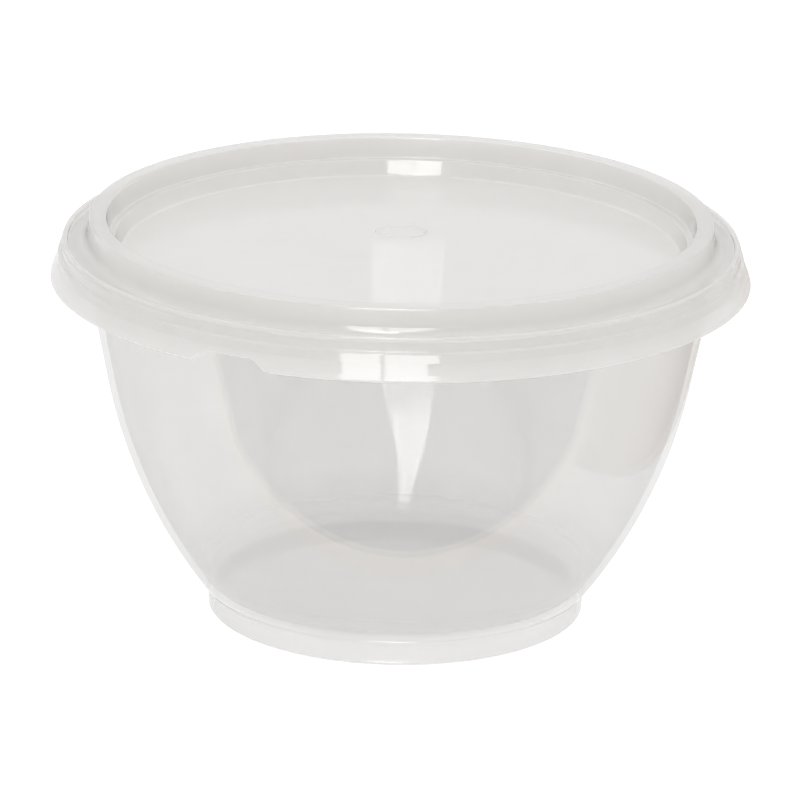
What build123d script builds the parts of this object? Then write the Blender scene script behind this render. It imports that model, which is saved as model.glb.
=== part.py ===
from build123d import *
import math
import os

# Go stone bowl: a thin moulded bowl on a foot ring, and a lid that drops over its rim.
# Millimetres. +Z is up, the origin is on the bowl's axis at the bottom of the foot ring,
# and the front, where the lid's finger notch is a little to the left, faces -Y.
# Both pieces are turned about Z. A corner of an outline is (radius, height, rounding).

# ---- bowl ----
BOWL_WALL = 1.2
WALL_DRAFT = 10.7
BASE_DRAFT = 36.0
BELLY_R = 50.44
BELLY_Z = 24.3
BELLY_REACH = 22.1
FLOOR_TOP = 5.4
FLOOR_ROUNDING = 3.4

FOOT_R = 35.2
FOOT_WALL = 1.3
FOOT_NECK_Z = 3.9
FOOT_CREASE_Z = 5.2
FOOT_DRAFT = 1.5
FOOT_EDGE = 0.3
FOOT_COVE = 2.2

RIM_TOP = 69.5
RIM_THICK = 1.2
LIP_R = 62.3
LIP_WALL = 1.1
LIP_BOTTOM = 65.9
RIM_EDGE = 0.45

GATE_R = 4.0
GATE_DEPTH = 0.4
GATE_PIP_R = 0.9
GATE_PIP = 0.25

# ---- lid ----
LID_WALL = 0.9
PANEL_TOP = 68.5
PANEL_R = 51.9
PANEL_COVE = 0.5
PLUG_TOP_R = 53.0
PLUG_TOP_Z = 71.4
STEP_R = 54.2
STEP_Z = 71.5
BEAD_INNER_R = 54.6
BEAD_OUTER_R = 57.8
BEAD_FOOT_R = 58.35
BEAD_TOP = 75.5
BEAD_EDGE = 0.35
CHANNEL_Z = RIM_TOP + LID_WALL
CHANNEL_COVE = 1.8
BRIM_R = 62.65
BRIM_TOP = 71.6
BRIM_STEP_Z = 71.0
BAND_R = 62.9
BAND_STEP_Z = 68.75
SKIRT_TOP_R = 63.5
SKIRT_WAIST_R = 63.85
SKIRT_WAIST_Z = 67.2
SKIRT_FLARE_R = 64.65
SKIRT_FLARE_Z = 65.2
SKIRT_BOTTOM_R = 65.0
SKIRT_BOTTOM = 64.0
SNAP_R = LIP_R + 0.3
SNAP_Z = 65.3
SNAP_HALF = 0.45

NOTCH_AZIMUTH = 28.0
NOTCH_TOP_WIDTH = 9.5
NOTCH_BOTTOM_WIDTH = 15.0
NOTCH_TOP = 66.0
NOTCH_ROUNDING = 0.6
NOTCH_RUNOUT = 1.5

MARK_BACK = 13.4
MARK_LENGTH = 9.9
MARK_WIDTH = 7.2
MARK_LINE = 0.7
MARK_HEIGHT = 0.2


def slope(degrees):
    """Sideways run for each millimetre of height on a wall leaning by this angle."""
    return math.tan(math.radians(degrees))


def rounded(corners):
    """Draw an open outline through these corners; the first and last are its sharp ends."""
    points = [(radius, height) for radius, height, rounding in corners]
    roundings = [rounding for radius, height, rounding in corners[1:-1]]
    FilletPolyline(*points, radius=roundings)


def turned(outline):
    """The solid made by turning a closed outline about the Z axis."""
    with BuildPart() as solid:
        with BuildSketch(Plane.XZ):
            with BuildLine():
                outline()
            make_face()
        revolve(axis=Axis.Z)
    return solid.part


def wall_radius(height):
    """Outside of the straight upper wall."""
    return BELLY_R + (height - BELLY_Z) * slope(WALL_DRAFT)


def base_radius(height):
    """Outside of the straight lower wall, between the belly and the foot."""
    return BELLY_R - (BELLY_Z - height) * slope(BASE_DRAFT)


def inside(draft):
    """How far in the wall's inner face is at one height, on a wall leaning by this angle."""
    return BOWL_WALL / math.cos(math.radians(draft))


def inner_belly():
    """Where the two straight inner faces would meet: radius and height."""
    lean = slope(WALL_DRAFT) - slope(BASE_DRAFT)
    rise = (inside(WALL_DRAFT) - inside(BASE_DRAFT)) / lean
    height = BELLY_Z + rise
    return wall_radius(height) - inside(WALL_DRAFT), height


def belly(radius, height, reach):
    """The curve between the straight walls: its lower end, its corner and its upper end."""
    base = math.radians(BASE_DRAFT)
    wall = math.radians(WALL_DRAFT)
    low = (radius - reach * math.sin(base), height - reach * math.cos(base))
    high = (radius + reach * math.sin(wall), height + reach * math.cos(wall))
    return low, (radius, height), high


def bowl_base():
    """Underside, from the axis to the crease where the foot ring meets the wall."""
    under = FLOOR_TOP - BOWL_WALL
    roof = under + GATE_DEPTH
    foot_top_r = FOOT_R + FOOT_NECK_Z * slope(FOOT_DRAFT)
    foot_inner_top_r = FOOT_R - FOOT_WALL - under * slope(FOOT_DRAFT)
    return [
        (0, roof - GATE_PIP, 0),
        (GATE_PIP_R, roof - GATE_PIP, 0),
        (GATE_PIP_R, roof, 0),
        (GATE_R - GATE_DEPTH, roof, 0),
        (GATE_R, under, 0),
        (foot_inner_top_r, under, FOOT_EDGE),
        (FOOT_R - FOOT_WALL, 0, FOOT_EDGE),
        (FOOT_R, 0, FOOT_EDGE),
        (foot_top_r, FOOT_NECK_Z, FOOT_COVE),
        (base_radius(FOOT_CREASE_Z), FOOT_CREASE_Z, 0),
    ]


def bowl_rim():
    """Flange round the mouth with its turned-down lip, from the wall to the inner edge."""
    under = RIM_TOP - RIM_THICK
    return [
        (wall_radius(under), under, RIM_EDGE),
        (LIP_R - LIP_WALL, under, RIM_EDGE),
        (LIP_R - LIP_WALL, LIP_BOTTOM, RIM_EDGE / 2),
        (LIP_R, LIP_BOTTOM, RIM_EDGE / 2),
        (LIP_R, RIM_TOP, RIM_EDGE),
        (wall_radius(RIM_TOP) - inside(WALL_DRAFT), RIM_TOP, RIM_EDGE),
    ]


def bowl_outline():
    """Half section of the bowl, round from the axis under the floor to the axis on it."""
    half_turn = (BASE_DRAFT - WALL_DRAFT) / 2
    inner_reach = BELLY_REACH - BOWL_WALL * slope(half_turn)
    outer = belly(BELLY_R, BELLY_Z, BELLY_REACH)
    inner = belly(*inner_belly(), inner_reach)
    floor_r = base_radius(FLOOR_TOP) - inside(BASE_DRAFT)
    rounded([*bowl_base(), (*outer[0], 0)])
    Bezier(*outer)
    rounded([(*outer[2], 0), *bowl_rim(), (*inner[2], 0)])
    Bezier(*inner)
    rounded([(*inner[0], 0), (floor_r, FLOOR_TOP, FLOOR_ROUNDING), (0, FLOOR_TOP, 0)])
    Line((0, FLOOR_TOP), (0, bowl_base()[0][1]))


def make_bowl():
    """The bowl, its foot ring and its rim, moulded in one."""
    return turned(bowl_outline)


def lid_top():
    """Upper face of the lid, from the axis to the outer edge of its brim."""
    edge = LID_WALL / 3
    brim_inner = BRIM_R - LID_WALL
    return [
        (0, PANEL_TOP, 0),
        (PANEL_R, PANEL_TOP, PANEL_COVE),
        (PLUG_TOP_R, PLUG_TOP_Z, edge),
        (STEP_R, STEP_Z, edge),
        (BEAD_INNER_R, BEAD_TOP, BEAD_EDGE),
        (BEAD_OUTER_R, BEAD_TOP, BEAD_EDGE),
        (BEAD_FOOT_R, CHANNEL_Z, CHANNEL_COVE),
        (brim_inner, CHANNEL_Z, edge),
        (brim_inner, BRIM_TOP, edge),
        (BRIM_R, BRIM_TOP, edge),
        (BRIM_R, BRIM_STEP_Z, 0),
        (BAND_R, BRIM_STEP_Z - edge, 0),
    ]


def lid_skirt():
    """Skirt, from the step below the brim down the outside and back up the inside."""
    edge = LID_WALL / 3
    return [
        (BAND_R, BAND_STEP_Z + edge, edge),
        (SKIRT_TOP_R, BAND_STEP_Z, edge),
        (SKIRT_WAIST_R, SKIRT_WAIST_Z, edge),
        (SKIRT_FLARE_R, SKIRT_FLARE_Z, edge),
        (SKIRT_BOTTOM_R, SKIRT_BOTTOM, edge),
        (SKIRT_BOTTOM_R - LID_WALL, SKIRT_BOTTOM, edge),
        (SKIRT_FLARE_R - LID_WALL, SNAP_Z - SNAP_HALF, 0),
        (SNAP_R, SNAP_Z, edge),
        (SKIRT_FLARE_R - LID_WALL - edge, SNAP_Z + SNAP_HALF, 0),
        (SKIRT_WAIST_R - LID_WALL, SKIRT_WAIST_Z, edge),
        (SKIRT_TOP_R - LID_WALL, RIM_TOP, edge),
    ]


def lid_underside():
    """Lower face of the lid, from the bowl's rim in under the bead to the panel."""
    edge = LID_WALL / 3
    return [
        (BEAD_FOOT_R - LID_WALL, RIM_TOP, edge),
        (BEAD_OUTER_R - LID_WALL, BEAD_TOP - LID_WALL, edge),
        (BEAD_INNER_R + LID_WALL, BEAD_TOP - LID_WALL, edge),
        (STEP_R + LID_WALL, STEP_Z - LID_WALL, edge),
        (PLUG_TOP_R + LID_WALL, PLUG_TOP_Z - LID_WALL, edge),
        (PANEL_R + LID_WALL / 2, PANEL_TOP - LID_WALL, PANEL_COVE),
        (0, PANEL_TOP - LID_WALL, 0),
    ]


def notch_cutter():
    """Wedge that clears the finger notch out of the skirt's lower edge."""
    rise = NOTCH_TOP - SKIRT_BOTTOM
    flank = (NOTCH_BOTTOM_WIDTH - NOTCH_TOP_WIDTH) / 2 / rise
    foot_half = NOTCH_BOTTOM_WIDTH / 2 + NOTCH_RUNOUT * flank
    foot_z = SKIRT_BOTTOM - NOTCH_RUNOUT
    middle = (SNAP_R + SKIRT_BOTTOM_R) / 2
    facing = Plane((0, 0, 0), x_dir=(1, 0, 0), z_dir=(0, -1, 0))
    with BuildPart() as cutter:
        with BuildSketch(facing.offset(middle)) as face:
            with BuildLine():
                Polyline(
                    (-foot_half, foot_z),
                    (foot_half, foot_z),
                    (NOTCH_TOP_WIDTH / 2, NOTCH_TOP),
                    (-NOTCH_TOP_WIDTH / 2, NOTCH_TOP),
                    close=True,
                )
            make_face()
            fillet(face.vertices().group_by(Axis.Z)[-1], radius=NOTCH_ROUNDING)
        extrude(amount=SKIRT_BOTTOM_R - SNAP_R, both=True)
    return Rot(0, 0, -NOTCH_AZIMUTH) * cutter.part


def centre_mark():
    """Plain raised oval outline on the panel, behind the middle."""
    with BuildPart() as mark:
        with BuildSketch(Plane((0, MARK_BACK, PANEL_TOP))):
            Ellipse(MARK_LENGTH / 2, MARK_WIDTH / 2)
            inner = MARK_LINE * 2
            Ellipse((MARK_LENGTH - inner) / 2, (MARK_WIDTH - inner) / 2, mode=Mode.SUBTRACT)
        extrude(amount=MARK_HEIGHT)
    return mark.part


def lid_outline():
    """Half section of the lid, round from the axis on the panel to the axis under it."""
    rounded([*lid_top(), *lid_skirt(), *lid_underside()])
    Line((0, PANEL_TOP - LID_WALL), (0, PANEL_TOP))


def make_lid():
    """The lid: sunk panel, hollow bead, channel, brim and flared skirt, moulded in one."""
    return turned(lid_outline) - notch_cutter() + centre_mark()


os.makedirs("parts", exist_ok=True)
export_step(make_bowl(), "parts/bowl.step")
export_step(make_lid(), "parts/lid.step")
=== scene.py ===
import math

import bmesh
import bpy
from mathutils import Matrix, Vector


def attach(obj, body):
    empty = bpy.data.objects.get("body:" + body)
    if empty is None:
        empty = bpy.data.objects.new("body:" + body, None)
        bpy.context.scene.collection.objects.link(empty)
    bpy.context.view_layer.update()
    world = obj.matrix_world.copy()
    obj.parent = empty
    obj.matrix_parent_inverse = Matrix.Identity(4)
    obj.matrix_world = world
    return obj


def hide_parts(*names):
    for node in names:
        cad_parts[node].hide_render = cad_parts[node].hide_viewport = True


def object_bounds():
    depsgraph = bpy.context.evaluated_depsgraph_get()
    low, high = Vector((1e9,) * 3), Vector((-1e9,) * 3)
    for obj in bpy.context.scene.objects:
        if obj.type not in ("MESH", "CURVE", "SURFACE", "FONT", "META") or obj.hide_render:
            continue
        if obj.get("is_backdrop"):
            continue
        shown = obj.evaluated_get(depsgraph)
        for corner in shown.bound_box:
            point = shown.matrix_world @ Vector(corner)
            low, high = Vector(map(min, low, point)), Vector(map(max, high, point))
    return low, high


# Go stone bowl with its lid: two thin mouldings in cloudy, see-through plastic.
# The frame and the studio are in metres, the outlines in millimetres, angles in degrees.
# +Z is up, and the front, near the lid's finger notch, faces -Y.
MM = 0.001
FRONT = -90.0

# ---- camera: a long lens, looking down a little from the front ----
LENS = 269.06
SENSOR = 36.0
VIEW_DISTANCE = 1.1173
VIEW_ELEVATION = 18.06
VIEW_ROLL = 0.987
AIM_HEIGHT = 0.5265
AIM_SIDE = 0.00028

# ---- light paths: the see-through walls need many ----
BOUNCES = 24
GLOSSY_BOUNCES = 16
TRANSPARENT_BOUNCES = 32

# ---- floor: a pale sheet that also glows, so that it comes out white ----
FLOOR_SIZE = 12.0
FLOOR_DROP = 0.0001
FLOOR_DIFFUSE = 0.2
FLOOR_GLOW = 0.93

# ---- sky: its brightness at the horizon and overhead, and where it changes ----
HORIZON = 1.0
CEILING = 0.9
SKY_FADE = (0.10, 0.30)

# ---- overhead lamp ----
LAMP_POWER = 8.0
LAMP_SIZE = 2.0
LAMP_DISTANCE = 1.6
LAMP_ELEVATION = 88.0
LAMP_AIM = 0.04

# ---- two window panes in front: azimuths and elevations from the axis, at WINDOW_EYE ----
WINDOW_DISTANCE = 0.5
WINDOW_EYE = 0.066
WINDOW_LOW = 14.0
WINDOW_HIGH = 30.0
WINDOW_FADE = (27.0, 33.0)
WINDOW_LEFT = [
    (-18.0, -2.0),
    (-5.6, -2.0),
    (-5.6, 33.0),
    (-4.4, 34.0),
    (-2.0, 54.0),
    (-5.0, 55.0),
    (-12.5, 48.0),
    (-17.5, 35.0),
]
WINDOW_RIGHT = [
    (-4.4, -2.0),
    (12.0, -2.0),
    (12.0, 14.0),
    (7.0, 28.0),
    (3.0, 35.0),
    (0.0, 42.0),
    (-2.0, 54.0),
    (-4.4, 34.0),
]

# ---- glowing cards, seen only in reflections ----
CARD_REACH = 3.0
FRONT_END = -1.9
FRONT_LIFT = 0.0002
FRONT_GLOW = 0.33
WALL_TOP = 2.5
STRIP_NEAR = -0.060
STRIP_FAR = -0.052
STRIP_SKEW = 0.15
STRIP_LIFT = 0.0003
STRIP_COLOUR = (1.15, 1.06, 0.95)
RIGHT_TABLE = [(0.085, -0.05), (3.0, 0.09), (3.0, 2.0), (0.085, 2.0)]
RIGHT_LIFT = 0.0004
RIGHT_COLOUR = (0.86, 0.80, 0.76)

# ---- plastic: each pair is the value low on the piece and high on it ----
# A fade is the two heights it changes between. The lid is alike all over, so its fade
# changes nothing.
SEE = (0.97, 0.967, 0.964)
# painted light: the bowl's milk is lighter, and less of it is clear, towards the foot, which
# brightens its bottom
BOWL_MILK = ((0.83, 0.826, 0.822), (0.74, 0.731, 0.722))
BOWL_CLEAR = (0.60, 0.84)
BOWL_FADE = (0.003, 0.014)
BOWL_SHINE = 0.055
INNER_SHINE = 0.12
BOWL_LIT_BELOW = 0.0003
LID_MILK = (0.90, 0.891, 0.880)
LID_CLEAR = 0.33
LID_FADE = (0.064, 0.076)
LID_SHINE = 0.018
LID_LIT_BELOW = 0.0672
DULL = 0.965
# painted highlight: the two values below make down-facing lower edges less clear and whiter, so
# that they show as a bright line
EDGE_HIGHLIGHT_MILK = 0.9
EDGE_HIGHLIGHT_WHITE = (0.97, 0.965, 0.955)
DOWNWARD = (-0.05, -0.5)
GRAZING_POWER = 5.0
HALF = 0.5

# ---- fine detail of the plastic ----
CLOUD_SCALE = 55.0
CLOUD_DETAIL = 4.0
CLOUD_RANGE = (0.3, 0.7)
CLOUD_CLEAR = 0.02
SCUFF_SCALE = 260.0
SCUFF_DETAIL = 6.0
SCUFF_RANGE = (0.58, 0.72)
SCUFF_ROUGH = 0.05
ROUGH_LOW = 0.04
ROUGH_HIGH = 0.08
RING_SCALE = 1800.0
RING_SHARE = 0.12
WAVE_SCALE = 160.0
RELIEF_DETAIL = 2.0
RELIEF_STRENGTH = 0.35
RELIEF_DEPTH = 0.00004

# ---- how finely the shells are turned: millimetres and degrees ----
END_STEP = 0.12
LONG_STEP = 3.0
ARC_STEP = 12.0
BELLY_STEPS = 28
SHARP_ANGLE = 32.0
BOWL_SEGMENTS = 288
LID_SEGMENTS = 384
MARK_SEGMENTS = 96
MARK_SECTION = 6

# ---- bowl, millimetres: the same section as the CAD solid's ----
BOWL_WALL = 1.2
WALL_DRAFT = 10.7
BASE_DRAFT = 36.0
BELLY_R = 50.44
BELLY_Z = 24.3
BELLY_REACH = 22.1
FLOOR_TOP = 5.4
FLOOR_ROUNDING = 3.4
FOOT_R = 35.2
FOOT_WALL = 1.3
FOOT_NECK_Z = 3.9
FOOT_CREASE_Z = 5.2
FOOT_DRAFT = 1.5
FOOT_EDGE = 0.3
FOOT_COVE = 2.2
RIM_TOP = 69.5
RIM_THICK = 1.2
LIP_R = 62.3
LIP_WALL = 1.1
LIP_BOTTOM = 65.9
RIM_EDGE = 0.45
GATE_R = 4.0
GATE_DEPTH = 0.4
GATE_PIP_R = 0.9
GATE_PIP = 0.25

# ---- lid, millimetres: the same section as the CAD solid's ----
LID_WALL = 0.9
PANEL_TOP = 68.5
PANEL_R = 51.9
PANEL_COVE = 0.5
PLUG_TOP_R = 53.0
PLUG_TOP_Z = 71.4
STEP_R = 54.2
STEP_Z = 71.5
BEAD_INNER_R = 54.6
BEAD_OUTER_R = 57.8
BEAD_FOOT_R = 58.35
BEAD_TOP = 75.5
BEAD_EDGE = 0.35
CHANNEL_Z = RIM_TOP + LID_WALL
CHANNEL_COVE = 1.8
BRIM_R = 62.65
BRIM_TOP = 71.6
BRIM_STEP_Z = 71.0
BAND_R = 62.9
BAND_STEP_Z = 68.75
SKIRT_TOP_R = 63.5
SKIRT_WAIST_R = 63.85
SKIRT_WAIST_Z = 67.2
SKIRT_FLARE_R = 64.65
SKIRT_FLARE_Z = 65.2
SKIRT_BOTTOM_R = 65.0
SKIRT_BOTTOM = 64.0
SNAP_CLEARANCE = 0.3
SNAP_R = LIP_R + SNAP_CLEARANCE
SNAP_Z = 65.3
SNAP_HALF = 0.45
LID_EDGE = LID_WALL / 3
NOTCH_AZIMUTH = 28.0
NOTCH_TOP_WIDTH = 9.5
NOTCH_BOTTOM_WIDTH = 15.0
NOTCH_TOP = 66.0
MARK_BACK = 13.4
MARK_LENGTH = 9.9
MARK_WIDTH = 7.2
MARK_LINE = 0.7
MARK_HEIGHT = 0.2


def add(name, data):
    """A new object in the scene that holds this mesh, lamp or camera."""
    made = bpy.data.objects.new(name, data)
    bpy.context.scene.collection.objects.link(made)
    return made


def camera():
    """Looks at the middle of the object from the front."""
    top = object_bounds()[1].z
    aim = Vector((AIM_SIDE, 0.0, top * AIM_HEIGHT))
    tilt = math.radians(VIEW_ELEVATION)
    back = Vector((0.0, -math.cos(tilt), math.sin(tilt)))
    data = bpy.data.cameras.new("camera")
    data.lens = LENS
    data.sensor_width = SENSOR
    eye = add("camera", data)
    turn = Matrix.Rotation(math.pi / 2 - tilt, 4, "X")
    roll = Matrix.Rotation(math.radians(VIEW_ROLL), 4, "Z")
    eye.matrix_world = Matrix.Translation(aim + back * VIEW_DISTANCE) @ turn @ roll
    bpy.context.scene.camera = eye


class Graph:
    """A material's node tree, with short ways to add nodes and join them."""

    def __init__(self, name):
        self.material = bpy.data.materials.new(name)
        self.material.use_nodes = True
        self.tree = self.material.node_tree
        self.tree.nodes.clear()

    def node(self, kind, **settings):
        made = self.tree.nodes.new(kind)
        for key, value in settings.items():
            setattr(made, key, value)
        return made

    def link(self, source, target):
        self.tree.links.new(source, target)

    def feed(self, socket, value):
        if isinstance(value, bpy.types.NodeSocket):
            self.link(value, socket)
        else:
            socket.default_value = value

    def math(self, operation, first, second=0.0):
        made = self.node("ShaderNodeMath", operation=operation)
        self.feed(made.inputs[0], first)
        self.feed(made.inputs[1], second)
        return made.outputs[0]

    def multiply_add(self, value, factor, added):
        made = self.node("ShaderNodeMath", operation="MULTIPLY_ADD")
        for socket, source in zip(made.inputs, (value, factor, added)):
            self.feed(socket, source)
        return made.outputs[0]

    def mix_shader(self, share, first, second):
        made = self.node("ShaderNodeMixShader")
        self.feed(made.inputs[0], share)
        self.link(first, made.inputs[1])
        self.link(second, made.inputs[2])
        return made.outputs[0]

    def output(self, shader):
        made = self.node("ShaderNodeOutputMaterial")
        self.link(shader, made.inputs["Surface"])


def noise(g, where, scale, detail):
    """Cloudy grey noise, from 0 to 1, with features about 1/scale metres across."""
    made = g.node("ShaderNodeTexNoise")
    g.link(where, made.inputs["Vector"])
    made.inputs["Scale"].default_value = scale
    made.inputs["Detail"].default_value = detail
    return made.outputs[0]


def remap(g, value, low, high, start, end, blend="SMOOTHSTEP"):
    """Value's stretch from low to high, turned into start to end."""
    made = g.node("ShaderNodeMapRange", interpolation_type=blend)
    g.link(value, made.inputs["Value"])
    made.inputs["From Min"].default_value = low
    made.inputs["From Max"].default_value = high
    made.inputs["To Min"].default_value = start
    made.inputs["To Max"].default_value = end
    return made.outputs[0]


def blend_colour(g, share, first, second):
    """Mix of two colours, each a plain colour or a socket."""
    made = g.node("ShaderNodeMix", data_type="RGBA")
    g.feed(made.inputs[0], share)
    for socket, colour in ((made.inputs[6], first), (made.inputs[7], second)):
        if isinstance(colour, tuple):
            socket.default_value = (*colour, 1.0)
        else:
            g.link(colour, socket)
    return made.outputs[2]


def surface_relief(g, where, axes):
    """Faint moulded waviness and turning rings, as a normal."""
    ring_vector = g.node("ShaderNodeCombineXYZ")
    across = g.math("MULTIPLY", axes.outputs["X"], axes.outputs["X"])
    along = g.math("MULTIPLY", axes.outputs["Y"], axes.outputs["Y"])
    radius = g.math("SQRT", g.math("ADD", across, along))
    g.link(radius, ring_vector.inputs["X"])
    g.link(axes.outputs["Z"], ring_vector.inputs["Z"])
    rings = noise(g, ring_vector.outputs[0], RING_SCALE, RELIEF_DETAIL)
    waves = noise(g, where, WAVE_SCALE, RELIEF_DETAIL)
    relief = g.node("ShaderNodeBump")
    relief.inputs["Strength"].default_value = RELIEF_STRENGTH
    relief.inputs["Distance"].default_value = RELIEF_DEPTH
    g.link(g.multiply_add(rings, RING_SHARE, waves), relief.inputs["Height"])
    return relief.outputs[0]


def painted_edge_highlight(g, height, normal, lit_below):
    """1 on faces that look down at the bottom of a piece, where a bright edge is painted as
    whiter, less clear plastic, which the floor's glow also lights for real.
    """
    facing = g.node("ShaderNodeSeparateXYZ")
    g.link(normal, facing.inputs[0])
    down = remap(g, facing.outputs["Z"], *DOWNWARD, 0.0, 1.0)
    return g.math("MULTIPLY", down, g.math("LESS_THAN", height, lit_below))


def clear_share(g, rise, clouds, edge, clear):
    """How much of the plastic is seen through: less low on the bowl, and less on the painted edge
    highlight.
    """
    low, high = clear
    even = g.multiply_add(rise, high - low, low)
    patches = remap(g, clouds, *CLOUD_RANGE, -CLOUD_CLEAR, CLOUD_CLEAR, "LINEAR")
    return g.math("MULTIPLY", g.math("ADD", even, patches), g.multiply_add(edge, -EDGE_HIGHLIGHT_MILK, 1.0))


def milk_colour(g, rise, clouds, edge, milk):
    """Colour of the milky share: lighter low on the bowl as painted light, duller in patches, and
    painted white on the lower edge as a highlight.
    """
    low, high = milk
    dull_low, dull_high = (tuple(c * DULL for c in colour) for colour in milk)
    plain = blend_colour(g, rise, low, high)
    dull = blend_colour(g, rise, dull_low, dull_high)
    return blend_colour(g, edge, blend_colour(g, clouds, dull, plain), EDGE_HIGHLIGHT_WHITE)


def reflected_share(g, where, normal, shine, inner_shine):
    """Share reflected: shine outside and inner_shine inside, up to all of it at grazing angles."""
    weight = g.node("ShaderNodeLayerWeight")
    weight.inputs["Blend"].default_value = HALF
    grazing = g.math("POWER", weight.outputs["Facing"], GRAZING_POWER)
    outward = g.node("ShaderNodeVectorMath", operation="DOT_PRODUCT")
    g.link(where, outward.inputs[0])
    g.link(normal, outward.inputs[1])
    side = g.math("SUBTRACT", HALF, g.node("ShaderNodeNewGeometry").outputs["Backfacing"])
    inner = g.math("LESS_THAN", g.math("MULTIPLY", outward.outputs["Value"], side), 0.0)
    least = g.multiply_add(inner, inner_shine - shine, shine)
    return g.multiply_add(grazing, g.math("SUBTRACT", 1.0, least), least)


def plastic(name, milk, clear, fade, shine, inner_shine, lit_below):
    """Cloudy plastic: part clear, part milky, with a glossy skin."""
    g = Graph(name)
    coords = g.node("ShaderNodeTexCoord")
    where = coords.outputs["Object"]
    normal = coords.outputs["Normal"]
    axes = g.node("ShaderNodeSeparateXYZ")
    g.link(where, axes.inputs[0])
    height = axes.outputs["Z"]
    # rise runs from 0 low to 1 high; on the bowl it carries the painted light that makes the
    # bottom lighter
    rise = remap(g, height, *fade, 0.0, 1.0)
    clouds = noise(g, where, CLOUD_SCALE, CLOUD_DETAIL)
    scuffs = remap(g, noise(g, where, SCUFF_SCALE, SCUFF_DETAIL), *SCUFF_RANGE, 0.0, 1.0)
    # edge is the mask of the painted highlight on down-facing lower edges
    edge = painted_edge_highlight(g, height, normal, lit_below)

    see = g.node("ShaderNodeBsdfTransparent")
    see.inputs["Color"].default_value = (*SEE, 1.0)
    front = g.node("ShaderNodeBsdfDiffuse")
    through = g.node("ShaderNodeBsdfTranslucent")
    gloss = g.node("ShaderNodeBsdfGlossy")
    colour = milk_colour(g, rise, clouds, edge, milk)
    for half in (front, through):
        g.link(colour, half.inputs["Color"])
    relief = surface_relief(g, where, axes)
    for shader in (front, gloss):
        g.link(relief, shader.inputs["Normal"])
    worn = remap(g, clouds, *CLOUD_RANGE, ROUGH_LOW, ROUGH_HIGH)
    g.link(g.multiply_add(scuffs, SCUFF_ROUGH, worn), gloss.inputs["Roughness"])

    milky = g.mix_shader(HALF, front.outputs[0], through.outputs[0])
    body = g.mix_shader(clear_share(g, rise, clouds, edge, clear), milky, see.outputs[0])
    skin = reflected_share(g, where, normal, shine, inner_shine)
    g.output(g.mix_shader(skin, body, gloss.outputs[0]))
    return g.material


def slope(degrees):
    """Sideways run for each millimetre of height on a wall leaning by this angle."""
    return math.tan(math.radians(degrees))


def run(first, second):
    """Points inside a straight stretch, close to its ends and evenly between them."""
    length = (second - first).length
    if length < 4 * END_STEP:
        return []
    count = max(int((length - 2 * END_STEP) / LONG_STEP), 1)
    span = 1.0 - 2 * END_STEP / length
    return [first.lerp(second, END_STEP / length + span * i / count) for i in range(count + 1)]


def corner(before, here, after, rounding):
    """Points of the arc that rounds one corner."""
    back = (before - here).normalized()
    ahead = (after - here).normalized()
    half = back.angle(ahead) / 2
    reach = rounding / math.tan(half)
    centre = here + (back + ahead).normalized() * rounding / math.sin(half)
    start = here + back * reach - centre
    turn = start.angle_signed(here + ahead * reach - centre)
    steps = max(math.ceil(abs(math.degrees(turn)) / ARC_STEP), 2)
    return [centre + turned(start, turn * i / steps) for i in range(steps + 1)]


def turned(arrow, angle):
    """A flat vector turned clockwise by this angle."""
    across = math.cos(angle) * arrow.x + math.sin(angle) * arrow.y
    along = math.cos(angle) * arrow.y - math.sin(angle) * arrow.x
    return Vector((across, along))


def rounded(corners):
    """Outline through these corners, each (radius, height, rounding), with its arcs."""
    knots = [Vector((radius, height)) for radius, height, rounding in corners]
    line = [knots[0]]
    for i in range(1, len(knots)):
        bend = [knots[i]]
        if i < len(knots) - 1 and corners[i][2] > 0:
            bend = corner(knots[i - 1], knots[i], knots[i + 1], corners[i][2])
        line += run(line[-1], bend[0]) + bend
    return line


def bezier(low, middle, high):
    """Curve between two straight walls."""
    knots = [Vector(low), Vector(middle), Vector(high)]
    points = []
    for i in range(1, BELLY_STEPS):
        t = i / BELLY_STEPS
        points.append(knots[0].lerp(knots[1], t).lerp(knots[1].lerp(knots[2], t), t))
    return points


def lathe(name, outline, segments, notched=False):
    """A closed solid skin turned about Z; the outline starts and ends on the axis."""
    rings = outline[1:-1]
    points = []
    for ring in rings:
        for i in range(segments):
            angle = 2 * math.pi * i / segments
            radius, height = ring
            if notched:
                radius, height = cut_notch(radius, height, angle)
            points.append((radius * math.cos(angle), radius * math.sin(angle), height))
    points += [(0.0, 0.0, pole.y) for pole in (outline[0], outline[-1])]
    last = (len(rings) - 1) * segments
    faces = []
    for i in range(segments):
        j = (i + 1) % segments
        faces.append((len(points) - 2, i, j))
        faces.append((len(points) - 1, last + j, last + i))
        for low in range(0, last, segments):
            high = low + segments
            faces.append((low + i, high + i, high + j, low + j))
    mesh = bpy.data.meshes.new(name)
    mesh.from_pydata([[c * MM for c in point] for point in points], [], faces)
    mesh.update()
    finish = bmesh.new()
    finish.from_mesh(mesh)
    bmesh.ops.recalc_face_normals(finish, faces=finish.faces)
    finish.to_mesh(mesh)
    finish.free()
    mesh.shade_smooth()
    mesh.set_sharp_from_angle(angle=math.radians(SHARP_ANGLE))
    return add(name, mesh)


def wall_radius(height):
    """Outside of the straight upper wall."""
    return BELLY_R + (height - BELLY_Z) * slope(WALL_DRAFT)


def base_radius(height):
    """Outside of the straight lower wall, between the belly and the foot."""
    return BELLY_R - (BELLY_Z - height) * slope(BASE_DRAFT)


def inside(draft):
    """How far in the wall's inner face is, on a wall leaning by this angle."""
    return BOWL_WALL / math.cos(math.radians(draft))


def belly(radius, height, reach):
    """The belly curve's lower end, its corner and its upper end."""
    base = math.radians(BASE_DRAFT)
    wall = math.radians(WALL_DRAFT)
    low = (radius - reach * math.sin(base), height - reach * math.cos(base))
    high = (radius + reach * math.sin(wall), height + reach * math.cos(wall))
    return low, (radius, height), high


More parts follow.
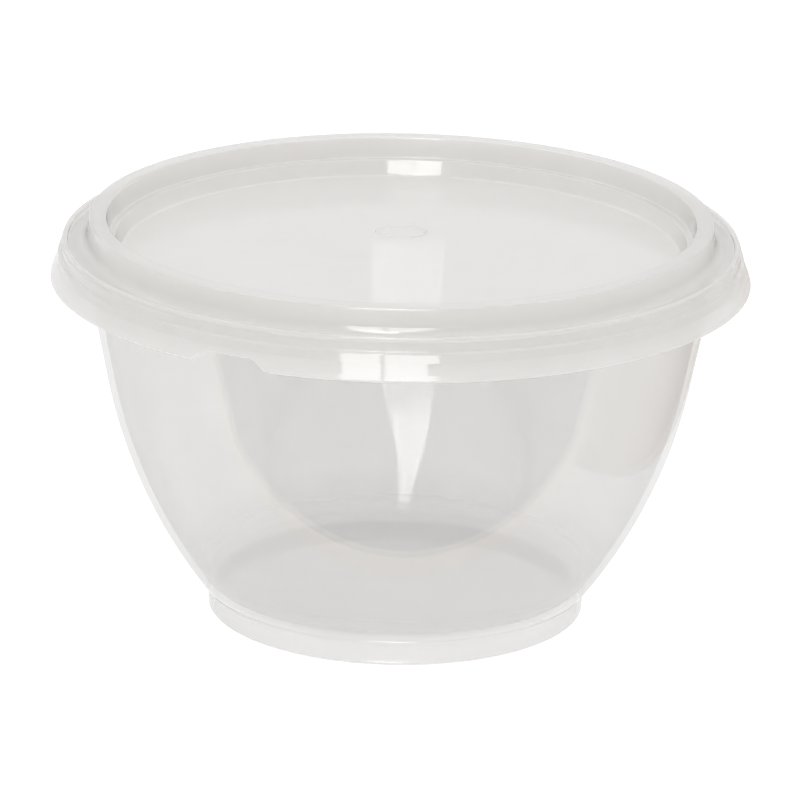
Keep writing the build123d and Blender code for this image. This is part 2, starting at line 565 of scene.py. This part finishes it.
def bowl_outline():
    """Half section of the bowl, from the axis under the floor round to the axis on it."""
    under = FLOOR_TOP - BOWL_WALL
    roof = under + GATE_DEPTH
    foot_inner = FOOT_R - FOOT_WALL
    outer = belly(BELLY_R, BELLY_Z, BELLY_REACH)
    rise = (inside(WALL_DRAFT) - inside(BASE_DRAFT)) / (slope(WALL_DRAFT) - slope(BASE_DRAFT))
    inner_r = wall_radius(BELLY_Z + rise) - inside(WALL_DRAFT)
    half_turn = (BASE_DRAFT - WALL_DRAFT) / 2
    inner = belly(inner_r, BELLY_Z + rise, BELLY_REACH - BOWL_WALL * slope(half_turn))
    rim_under = RIM_TOP - RIM_THICK
    base = rounded([
        (0, roof - GATE_PIP, 0),
        (GATE_PIP_R, roof - GATE_PIP, 0),
        (GATE_PIP_R, roof, 0),
        (GATE_R - GATE_DEPTH, roof, 0),
        (GATE_R, under, 0),
        (foot_inner - under * slope(FOOT_DRAFT), under, FOOT_EDGE),
        (foot_inner, 0, FOOT_EDGE),
        (FOOT_R, 0, FOOT_EDGE),
        (FOOT_R + FOOT_NECK_Z * slope(FOOT_DRAFT), FOOT_NECK_Z, FOOT_COVE),
        (base_radius(FOOT_CREASE_Z), FOOT_CREASE_Z, 0),
        (*outer[0], 0),
    ])
    rim = rounded([
        (*outer[2], 0),
        (wall_radius(rim_under), rim_under, RIM_EDGE),
        (LIP_R - LIP_WALL, rim_under, RIM_EDGE),
        (LIP_R - LIP_WALL, LIP_BOTTOM, RIM_EDGE / 2),
        (LIP_R, LIP_BOTTOM, RIM_EDGE / 2),
        (LIP_R, RIM_TOP, RIM_EDGE),
        (wall_radius(RIM_TOP) - inside(WALL_DRAFT), RIM_TOP, RIM_EDGE),
        (*inner[2], 0),
    ])
    floor_r = base_radius(FLOOR_TOP) - inside(BASE_DRAFT)
    floor_line = rounded([(*inner[0], 0), (floor_r, FLOOR_TOP, FLOOR_ROUNDING), (0, FLOOR_TOP, 0)])
    return base + bezier(*outer) + rim + bezier(*reversed(inner)) + floor_line


def lid_outline():
    """Half section of the lid, from the axis on the panel round to the axis under it."""
    edge = LID_EDGE
    brim_inner = BRIM_R - LID_WALL
    return rounded([
        (0, PANEL_TOP, 0),
        (PANEL_R, PANEL_TOP, PANEL_COVE),
        (PLUG_TOP_R, PLUG_TOP_Z, edge),
        (STEP_R, STEP_Z, edge),
        (BEAD_INNER_R, BEAD_TOP, BEAD_EDGE),
        (BEAD_OUTER_R, BEAD_TOP, BEAD_EDGE),
        (BEAD_FOOT_R, CHANNEL_Z, CHANNEL_COVE),
        (brim_inner, CHANNEL_Z, edge),
        (brim_inner, BRIM_TOP, edge),
        (BRIM_R, BRIM_TOP, edge),
        (BRIM_R, BRIM_STEP_Z, 0),
        (BAND_R, BRIM_STEP_Z - edge, 0),
        (BAND_R, BAND_STEP_Z + edge, edge),
        (SKIRT_TOP_R, BAND_STEP_Z, edge),
        (SKIRT_WAIST_R, SKIRT_WAIST_Z, edge),
        (SKIRT_FLARE_R, SKIRT_FLARE_Z, edge),
        (SKIRT_BOTTOM_R, SKIRT_BOTTOM, edge),
        (SKIRT_BOTTOM_R - LID_WALL, SKIRT_BOTTOM, edge),
        (SKIRT_FLARE_R - LID_WALL, SNAP_Z - SNAP_HALF, 0),
        (SNAP_R, SNAP_Z, edge),
        (SKIRT_FLARE_R - LID_WALL - edge, SNAP_Z + SNAP_HALF, 0),
        (SKIRT_WAIST_R - LID_WALL, SKIRT_WAIST_Z, edge),
        (SKIRT_TOP_R - LID_WALL, RIM_TOP, edge),
        (BEAD_FOOT_R - LID_WALL, RIM_TOP, edge),
        (BEAD_OUTER_R - LID_WALL, BEAD_TOP - LID_WALL, edge),
        (BEAD_INNER_R + LID_WALL, BEAD_TOP - LID_WALL, edge),
        (STEP_R + LID_WALL, STEP_Z - LID_WALL, edge),
        (PLUG_TOP_R + LID_WALL, PLUG_TOP_Z - LID_WALL, edge),
        (PANEL_R + LID_WALL / 2, PANEL_TOP - LID_WALL, PANEL_COVE),
        (0, PANEL_TOP - LID_WALL, 0),
    ])


def skirt_lean(height):
    """Radius of the flared skirt's outside at this height."""
    stops = [
        (SKIRT_BOTTOM, SKIRT_BOTTOM_R),
        (SKIRT_FLARE_Z, SKIRT_FLARE_R),
        (SKIRT_WAIST_Z, SKIRT_WAIST_R),
    ]
    for (low, wide), (high, narrow) in zip(stops, stops[1:]):
        if height <= high:
            return wide + (narrow - wide) * (height - low) / (high - low)
    return SKIRT_WAIST_R


def cut_notch(radius, height, angle):
    """Where a point of the skirt goes once the finger notch is lifted out of its edge."""
    if radius < LIP_R or height >= SKIRT_WAIST_Z:
        return radius, height
    middle = math.radians(FRONT - NOTCH_AZIMUTH)
    aside = radius * abs(math.sin(angle - middle))
    if math.cos(angle - middle) < 0 or aside > NOTCH_BOTTOM_WIDTH / 2:
        return radius, height
    flank = (NOTCH_BOTTOM_WIDTH - NOTCH_TOP_WIDTH) / 2
    share = min((NOTCH_BOTTOM_WIDTH / 2 - aside) / flank, 1.0)
    edge = SKIRT_BOTTOM + (NOTCH_TOP - SKIRT_BOTTOM) * share
    kept = (SKIRT_WAIST_Z - edge) / (SKIRT_WAIST_Z - SKIRT_BOTTOM)
    lifted = SKIRT_WAIST_Z - (SKIRT_WAIST_Z - height) * kept
    return radius + skirt_lean(lifted) - skirt_lean(height), lifted


def oval_mark():
    """Low rounded rib round an oval on the panel, open underneath where it meets the panel."""
    points = []
    faces = []
    arc_points = MARK_SECTION + 1
    for i in range(MARK_SEGMENTS):
        angle = 2 * math.pi * i / MARK_SEGMENTS
        for j in range(arc_points):
            arc = math.pi * j / MARK_SECTION
            inset = MARK_LINE / 2 * (1 + math.cos(arc))
            across = (MARK_LENGTH / 2 - inset) * math.cos(angle)
            along = (MARK_WIDTH / 2 - inset) * math.sin(angle) + MARK_BACK
            points.append((across, along, PANEL_TOP + MARK_HEIGHT * math.sin(arc)))
    for i in range(MARK_SEGMENTS):
        here = i * arc_points
        there = ((i + 1) % MARK_SEGMENTS) * arc_points
        for j in range(MARK_SECTION):
            faces.append((here + j, there + j, there + j + 1, here + j + 1))
    mesh = bpy.data.meshes.new("lid_mark")
    mesh.from_pydata([[c * MM for c in point] for point in points], [], faces)
    mesh.shade_smooth()
    return add("lid_mark", mesh)


def place(piece, body, material):
    """Put a piece on its CAD body, in its material slot."""
    piece.data.materials.append(material)
    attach(piece, body)


def floor():
    """A pale glowing sheet just under the bowl's foot."""
    half = FLOOR_SIZE / 2
    corners = [(-half, -half), (half, -half), (half, half), (-half, half)]
    mesh = bpy.data.meshes.new("floor")
    mesh.from_pydata([(x, y, -FLOOR_DROP) for x, y in corners], [], [(0, 1, 2, 3)])
    g = Graph("floor_paper")
    paper = g.node("ShaderNodeBsdfDiffuse")
    paper.inputs["Color"].default_value = (FLOOR_DIFFUSE, FLOOR_DIFFUSE, FLOOR_DIFFUSE, 1.0)
    glow = g.node("ShaderNodeEmission")
    glow.inputs["Strength"].default_value = FLOOR_GLOW
    both = g.node("ShaderNodeAddShader")
    g.link(paper.outputs[0], both.inputs[0])
    g.link(glow.outputs[0], both.inputs[1])
    g.output(both.outputs[0])
    mesh.materials.append(g.material)
    ground = add("floor", mesh)
    ground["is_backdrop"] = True


def hidden_card(name, corners, material):
    """A flat card that the camera and diffuse light don't see, and that casts no shadow."""
    mesh = bpy.data.meshes.new(name)
    mesh.from_pydata(corners, [], [tuple(range(len(corners)))])
    mesh.materials.append(material)
    card = add(name, mesh)
    card.visible_camera = False
    card.visible_diffuse = False
    card.visible_shadow = False
    return card


def glowing(name, corners, colour):
    """A card of one colour, seen only in reflections."""
    g = Graph(name)
    glow = g.node("ShaderNodeEmission")
    glow.inputs["Color"].default_value = (*colour, 1.0)
    g.output(glow.outputs[0])
    board = hidden_card(name, corners, g.material)
    board.visible_transmission = False
    board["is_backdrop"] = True


def window_height(distance, elevation):
    """Height of a window point at this distance from the axis and elevation above the eye."""
    return WINDOW_EYE + distance * math.tan(math.radians(elevation))


def window(name, outline):
    """A pane in front, brighter above, for reflections and light through the milky plastic."""
    corners = []
    for azimuth, elevation in outline:
        a = math.radians(azimuth)
        height = window_height(WINDOW_DISTANCE / math.cos(a), elevation)
        corners.append((WINDOW_DISTANCE * math.tan(a), -WINDOW_DISTANCE, height))
    g = Graph(name)
    coords = g.node("ShaderNodeTexCoord")
    axes = g.node("ShaderNodeSeparateXYZ")
    g.link(coords.outputs["Object"], axes.inputs[0])
    low, high = (window_height(WINDOW_DISTANCE, elevation) for elevation in WINDOW_FADE)
    glow = g.node("ShaderNodeEmission")
    strength = remap(g, axes.outputs["Z"], low, high, WINDOW_LOW, WINDOW_HIGH, "LINEAR")
    g.link(strength, glow.inputs["Strength"])
    g.output(glow.outputs[0])
    pane = hidden_card(name, corners, g.material)
    pane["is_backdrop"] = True


def card_edge(depth, skew, height):
    """Both ends of a card's edge, which may slant back towards the right."""
    return [(-CARD_REACH, depth - skew, height), (CARD_REACH, depth + skew, height)]


def between(near, far):
    """Corners of a card between two such edges."""
    return [near[0], near[1], far[1], far[0]]


def cards():
    """The table's dark front with a wall beyond, a warm strip and the table's right side."""
    grey = (FRONT_GLOW, FRONT_GLOW, FRONT_GLOW)
    front = card_edge(FRONT_END, 0.0, FRONT_LIFT)
    strip_near = card_edge(STRIP_NEAR, STRIP_SKEW, FRONT_LIFT)
    strip_far = card_edge(STRIP_FAR, STRIP_SKEW, STRIP_LIFT)
    wall_foot = card_edge(FRONT_END, 0.0, 0.0)
    wall_top = card_edge(FRONT_END, 0.0, WALL_TOP)
    glowing("front_floor", between(front, strip_near), grey)
    glowing("warm_strip", between(strip_near, strip_far), STRIP_COLOUR)
    glowing("right_table", [(x, y, RIGHT_LIFT) for x, y in RIGHT_TABLE], RIGHT_COLOUR)
    glowing("front_wall", between(wall_foot, wall_top), grey)


def sky():
    """White all round, a little dimmer overhead than at the horizon."""
    world = bpy.data.worlds.new("studio")
    world.use_nodes = True
    tree = world.node_tree
    background = tree.nodes["Background"]
    toward = tree.nodes.new("ShaderNodeTexCoord")
    axes = tree.nodes.new("ShaderNodeSeparateXYZ")
    tree.links.new(toward.outputs["Generated"], axes.inputs[0])
    fade = tree.nodes.new("ShaderNodeMapRange")
    tree.links.new(axes.outputs["Z"], fade.inputs["Value"])
    fade.inputs["From Min"].default_value = SKY_FADE[0]
    fade.inputs["From Max"].default_value = SKY_FADE[1]
    fade.inputs["To Min"].default_value = HORIZON
    fade.inputs["To Max"].default_value = CEILING
    tree.links.new(fade.outputs[0], background.inputs["Strength"])
    background.inputs["Color"].default_value = (1.0, 1.0, 1.0, 1.0)
    bpy.context.scene.world = world


def overhead_lamp():
    """A wide soft lamp almost straight above, a little to the front."""
    data = bpy.data.lights.new("overhead", "AREA")
    data.shape = "RECTANGLE"
    data.size = LAMP_SIZE
    data.size_y = LAMP_SIZE
    data.energy = LAMP_POWER
    tilt = math.radians(LAMP_ELEVATION)
    out = Vector((0.0, -math.cos(tilt), math.sin(tilt)))
    lamp = add("overhead", data)
    lamp.location = out * LAMP_DISTANCE + Vector((0.0, 0.0, LAMP_AIM))
    lamp.rotation_mode = "QUATERNION"
    lamp.rotation_quaternion = out.to_track_quat("Z", "Y")
    lamp.visible_camera = False


def studio():
    """Light, reflections and how far light paths are followed."""
    scene = bpy.context.scene
    scene.view_settings.view_transform = "Standard"
    scene.cycles.transparent_max_bounces = TRANSPARENT_BOUNCES
    scene.cycles.max_bounces = BOUNCES
    scene.cycles.glossy_bounces = GLOSSY_BOUNCES
    sky()
    overhead_lamp()
    window("window_left", WINDOW_LEFT)
    window("window_right", WINDOW_RIGHT)
    cards()


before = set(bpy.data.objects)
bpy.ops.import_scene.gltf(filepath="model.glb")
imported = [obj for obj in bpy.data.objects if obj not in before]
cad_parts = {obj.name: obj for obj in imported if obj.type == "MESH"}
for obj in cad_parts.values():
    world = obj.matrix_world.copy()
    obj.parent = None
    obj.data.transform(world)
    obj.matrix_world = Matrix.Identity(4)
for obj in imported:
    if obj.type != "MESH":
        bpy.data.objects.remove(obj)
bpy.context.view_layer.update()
camera()
floor()
studio()

bowl_look = plastic(
    "bowl_plastic_look",
    milk=BOWL_MILK,
    clear=BOWL_CLEAR,
    fade=BOWL_FADE,
    shine=BOWL_SHINE,
    inner_shine=INNER_SHINE,
    lit_below=BOWL_LIT_BELOW,
)
lid_look = plastic(
    "lid_plastic_look",
    milk=(LID_MILK, LID_MILK),
    clear=(LID_CLEAR, LID_CLEAR),
    fade=LID_FADE,
    shine=LID_SHINE,
    inner_shine=LID_SHINE,
    lit_below=LID_LIT_BELOW,
)
bowl_shell = lathe("bowl_shell", bowl_outline(), BOWL_SEGMENTS)
place(bowl_shell, "bowl", bowl_look)
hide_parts("bowl")
lid_shell = lathe("lid_shell", lid_outline(), LID_SEGMENTS, notched=True)
place(lid_shell, "lid", lid_look)
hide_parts("lid")
place(oval_mark(), "lid", lid_look)
